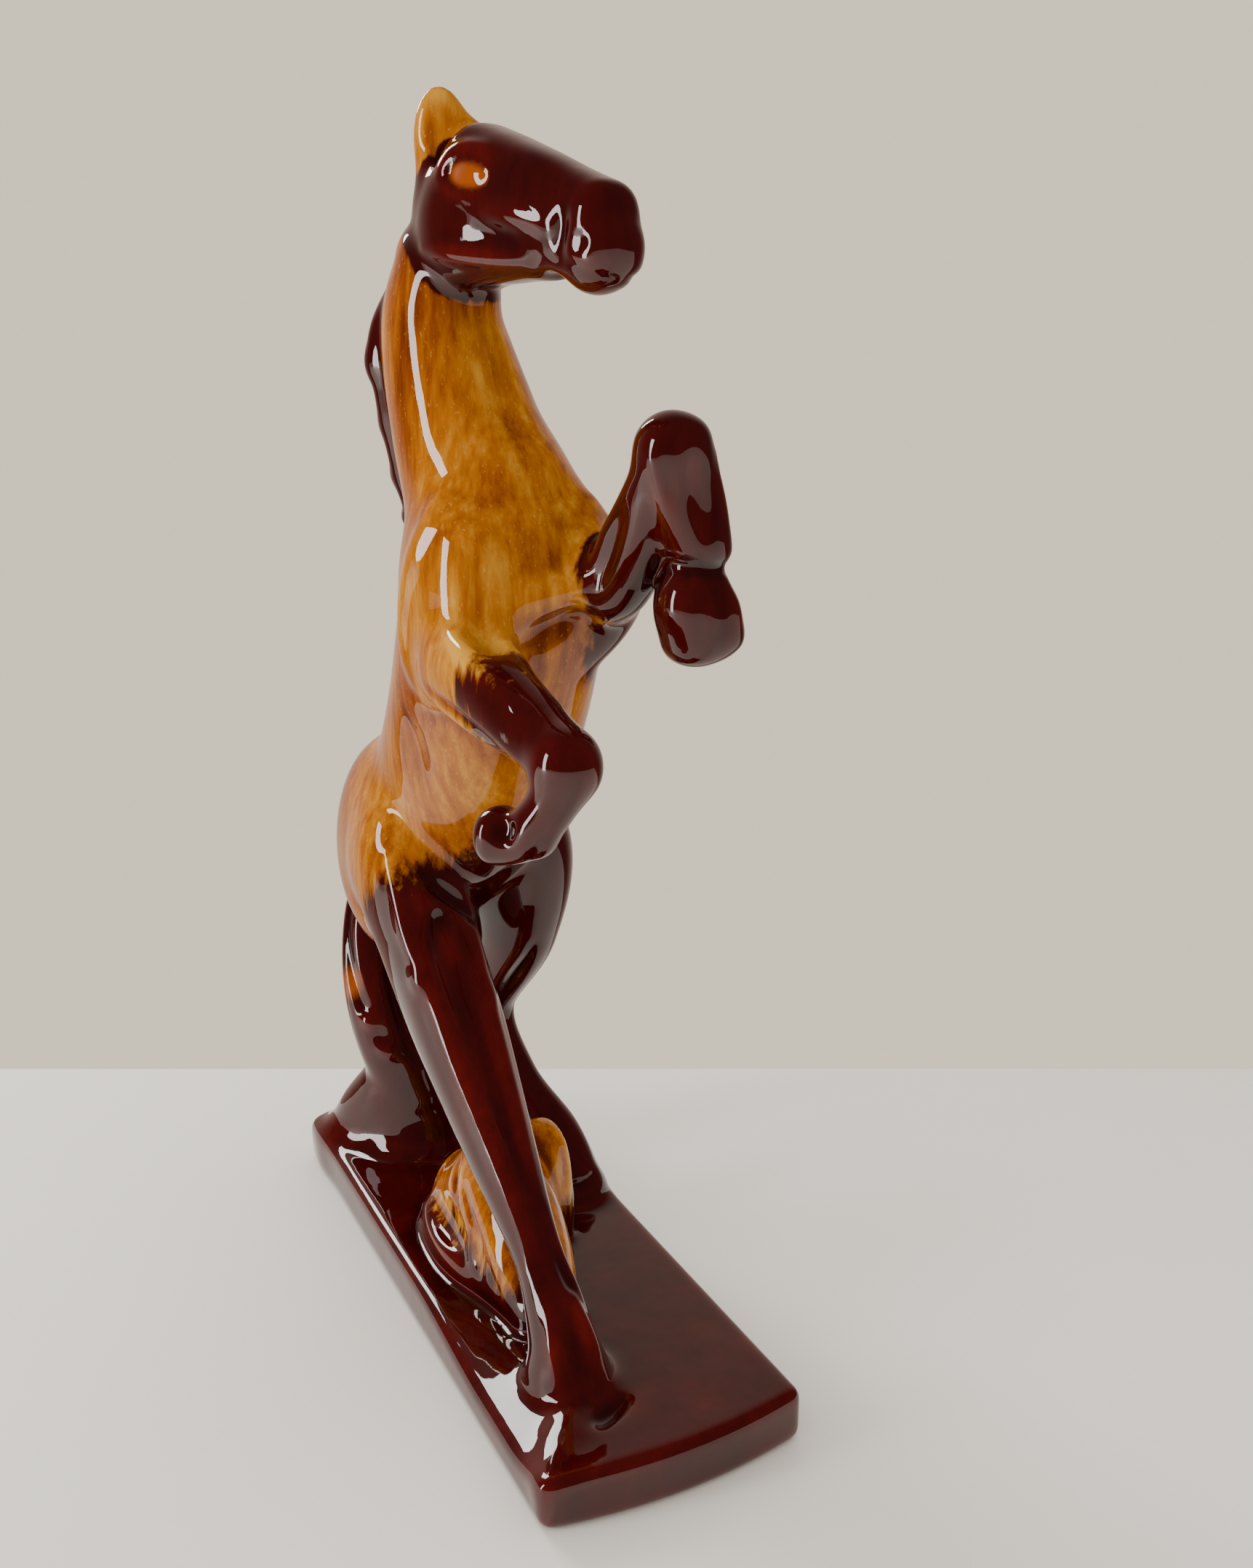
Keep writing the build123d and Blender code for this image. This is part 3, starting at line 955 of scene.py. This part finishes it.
def mixed(tree, fac, a, b):
    made = node(tree, "ShaderNodeMix", data_type="RGBA")
    for key, value in ((0, fac), (6, a), (7, b)):
        if isinstance(value, bpy.types.NodeSocket):
            tree.links.new(value, made.inputs[key])
        else:
            made.inputs[key].default_value = value
    return made.outputs[2]


def glaze(name):
    """Brushed honey glaze over dark oxblood glaze, both under one thick clear coat."""
    material = bpy.data.materials.new(name)
    material.use_nodes = True
    tree = material.node_tree
    shader = tree.nodes["Principled BSDF"]
    place = node(tree, "ShaderNodeTexCoord").outputs["Object"]
    amount = node(tree, "ShaderNodeAttribute", attribute_name="honey").outputs["Fac"]
    thin = node(tree, "ShaderNodeAttribute", attribute_name="thin").outputs["Fac"]
    russet_and_sheen = node(tree, "ShaderNodeAttribute", attribute_name="russet_and_sheen").outputs["Fac"]

    streaks = noise(tree, place, (1, 1, 0.16), 420, detail=5, roughness=0.62)
    strokes = noise(tree, place, (1, 1, 0.22), 90, detail=3)
    clouds = noise(tree, place, (1, 1, 0.6), 28, detail=2)
    specks = noise(tree, place, (1, 1, 0.5), 1500, detail=1)

    shade = sums(tree, "ADD", sums(tree, "MULTIPLY", streaks, 0.42), sums(tree, "MULTIPLY", strokes, 0.42))
    shade = sums(tree, "ADD", shade, sums(tree, "MULTIPLY", clouds, 0.44))
    shade = sums(tree, "ADD", shade, sums(tree, "MULTIPLY", thin, 0.55))
    honey = ramp(tree, shade, [
        (0.44, (0.115, 0.017, 0.0004)),
        (0.56, (0.230, 0.052, 0.0010)),
        (0.67, (0.370, 0.116, 0.0030)),
        (0.84, (0.570, 0.270, 0.0280)),
    ])
    flecks = ramp(tree, specks, [(0.66, (0, 0, 0)), (0.74, (1, 1, 1))])
    honey = mixed(tree, sums(tree, "MULTIPLY", flecks, 0.25), honey, (0.60, 0.38, 0.10, 1))

    depth = sums(tree, "ADD", sums(tree, "MULTIPLY", strokes, 0.5), sums(tree, "MULTIPLY", streaks, 0.25))
    depth = sums(tree, "ADD", depth, sums(tree, "MULTIPLY", thin, 0.6))
    dark = ramp(tree, depth, [
        (0.22, (0.020, 0.0009, 0.0009)),
        (0.45, (0.046, 0.0020, 0.0018)),
        (0.75, (0.100, 0.0048, 0.0030)),
        (1.00, (0.230, 0.0260, 0.0060)),
    ])

    ragged = sums(tree, "ADD", amount, sums(tree, "MULTIPLY", sums(tree, "SUBTRACT", streaks, 0.5), 0.9))
    ragged = sums(tree, "ADD", ragged, sums(tree, "MULTIPLY", sums(tree, "SUBTRACT", strokes, 0.5), 0.5))
    border = ramp(tree, ragged, [(0.38, (0, 0, 0)), (0.66, (1, 1, 1))])
    colour = mixed(tree, border, dark, honey)
    # russet where the glaze was wiped thin on the eyes, and the same colour as a painted reflection on the
    # tail
    russet_and_sheen_colour = ramp(tree, clouds, [(0.35, (0.150, 0.012, 0.0010)), (0.65, (0.280, 0.058, 0.0040))])
    colour = mixed(tree, russet_and_sheen, colour, russet_and_sheen_colour)
    tree.links.new(colour, shader.inputs["Base Color"])

    ripple = noise(tree, place, (1, 1, 0.7), 75, detail=2)
    grain = sums(tree, "ADD", ripple, sums(tree, "MULTIPLY", streaks, 0.03))
    bump = node(tree, "ShaderNodeBump", {"Height": grain, "Strength": 0.25, "Distance": 0.0006})
    tree.links.new(bump.outputs[0], shader.inputs["Normal"])
    tree.links.new(bump.outputs[0], shader.inputs["Coat Normal"])
    shader.inputs["Roughness"].default_value = 0.5
    shader.inputs["Specular IOR Level"].default_value = 0.0
    shader.inputs["IOR"].default_value = 1.5
    shader.inputs["Coat Weight"].default_value = 1.0
    shader.inputs["Coat Roughness"].default_value = 0.02
    shader.inputs["Coat IOR"].default_value = 1.55
    return material


# ---------------------------------------------------------------- the pieces
def make_piece(name, spots, faces, normals, layers, material):
    """A mesh object, from points in the drawing's millimetres."""
    placed = spots * FIGURE_SCALE
    placed[:, 2] += DECK
    mesh = bpy.data.meshes.new(name)
    mesh.from_pydata(placed * MM, [], faces.tolist())
    for key, values in layers.items():
        layer = mesh.attributes.new(key, "FLOAT", "POINT")
        layer.data.foreach_set("value", values.astype(np.float32))
    mesh.polygons.foreach_set("use_smooth", [True] * len(mesh.polygons))
    mesh.normals_split_custom_set_from_vertices(normals)
    mesh.materials.append(material)
    piece = bpy.data.objects.new(name, mesh)
    bpy.context.collection.objects.link(piece)
    return piece


clay, forms = sculpt()
points, quads = clay.skin()
points = settle(clay, points)
points, parts = part_skin(points, quads, owners(forms, points))
normals = surface(clay, points)
layers = {"honey": glaze_at(points), "russet_and_sheen": russet_and_sheen_at(points), "thin": thinness(clay, points, normals)}
finishes = {"dark_glaze": glaze("dark glaze"), "amber_glaze": glaze("amber glaze")}
AMBER = ("rock", "torso", "neck", "ear_right", "ear_left")
for node_name, triangles in zip(forms, parts):
    used, spots, faces = close(points, triangles)
    spare = len(spots) - len(used)
    slot_name = "amber_glaze" if node_name in AMBER else "dark_glaze"
    piece = make_piece(
        node_name + "_glazed", spots, faces,
        np.concatenate([normals[used], np.tile((0.0, 0.0, 1.0), (spare, 1))]),
        {key: np.concatenate([values[used], np.zeros(spare)]) for key, values in layers.items()},
        finishes[slot_name])
    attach(piece, "root")
    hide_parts(node_name)


# ---------------------------------------------------------------- floor, room, light and camera
FORWARD = Vector((0.455, 0.890, 0)).normalized()  # the camera's direction along the ground
RIGHT = Vector((FORWARD.y, -FORWARD.x, 0))
UP = Vector((0, 0, 1))
CAMERA_AT = Vector((-0.1356, -0.3297, 0.239))
CAMERA_DIP = math.radians(15.49)
MIDDLE = Vector((0, 0, 0.15))


def plain(name, colour, roughness):
    material = bpy.data.materials.new(name)
    material.use_nodes = True
    tree = material.node_tree
    shader = tree.nodes["Principled BSDF"]
    place = node(tree, "ShaderNodeTexCoord").outputs["Object"]
    mottle = noise(tree, place, (1, 1, 1), 9, detail=4)
    low = tuple(0.97 * c for c in colour)
    tree.links.new(ramp(tree, mottle, [(0.3, low), (0.7, colour)]), shader.inputs["Base Color"])
    shader.inputs["Roughness"].default_value = roughness
    return material


def sheet_of_floor():
    """A pale board under the figure. Its far edge is the line where the wall begins."""
    near, far, half = -2.0, 0.125, 2.2
    corners = [FORWARD * d + RIGHT * s for d, s in ((near, -half), (near, half), (far, half), (far, -half))]
    mesh = bpy.data.meshes.new("floor")
    mesh.from_pydata(corners, [], [(0, 1, 2, 3)])
    mesh.materials.append(plain("pale board", (0.86, 0.84, 0.80), 0.6))
    board = bpy.data.objects.new("floor", mesh)
    bpy.context.collection.objects.link(board)
    return board


def softbox(name, direction, distance, size, power, colour):
    """A rectangular light at a place given as metres right, forward and up from the figure's middle."""
    right, forward, up = direction
    away = (RIGHT * right + FORWARD * forward + UP * up).normalized()
    data = bpy.data.lights.new(name, "AREA")
    data.shape = "RECTANGLE"
    data.size, data.size_y = size
    data.energy = power
    data.color = colour
    light = bpy.data.objects.new(name, data)
    light.location = MIDDLE + away * distance
    light.rotation_euler = (-away).to_track_quat("-Z", "Y").to_euler()
    bpy.context.collection.objects.link(light)
    return light


def room():
    """The room: a plain beige wall. The glaze mirrors it bright behind the figure and dim before it."""
    lighting = (1.18, 1.10, 1.00, 1)
    seen_wall = (1.05, 0.925, 0.71, 1)
    mirrored_before = (0.085, 0.062, 0.058, 1)
    mirrored_behind = (0.72, 0.57, 0.48, 1)
    world = bpy.data.worlds.new("room")
    bpy.context.scene.world = world
    world.use_nodes = True
    tree = world.node_tree
    tree.nodes.clear()
    way = node(tree, "ShaderNodeTexCoord").outputs["Generated"]
    behind = FORWARD * 0.99 - RIGHT * 0.12
    ahead = node(tree, "ShaderNodeVectorMath", {0: way, 1: behind}, operation="DOT_PRODUCT")
    reach = {"Value": ahead.outputs["Value"], "From Min": 0.28, "From Max": 1.0}
    spread = node(tree, "ShaderNodeMapRange", reach, interpolation_type="SMOOTHSTEP")
    mirrored = mixed(tree, spread.outputs[0], mirrored_before, mirrored_behind)
    rays = node(tree, "ShaderNodeLightPath")
    lit = mixed(tree, rays.outputs["Is Glossy Ray"], lighting, mirrored)
    shown = mixed(tree, rays.outputs["Is Camera Ray"], lit, seen_wall)
    background = node(tree, "ShaderNodeBackground", {"Color": shown, "Strength": 1.0})
    output = node(tree, "ShaderNodeOutputWorld")
    tree.links.new(background.outputs[0], output.inputs[0])


sheet_of_floor()
room()
softbox("tall window", (-0.93, -0.35, 0.15), 1.3, (0.26, 1.0), 12, (1, 0.98, 0.95))
softbox("high window", (-0.54, 0.64, 0.56), 1.4, (0.42, 0.50), 11, (1, 0.98, 0.96))

lens = bpy.data.cameras.new("camera")
lens.sensor_fit = "VERTICAL"
lens.sensor_height = 36
lens.lens = 33.77
camera = bpy.data.objects.new("camera", lens)
camera.location = CAMERA_AT
line_of_sight = FORWARD * math.cos(CAMERA_DIP) - UP * math.sin(CAMERA_DIP)
camera.rotation_euler = line_of_sight.to_track_quat("-Z", "Y").to_euler()
bpy.context.collection.objects.link(camera)
bpy.context.scene.camera = camera
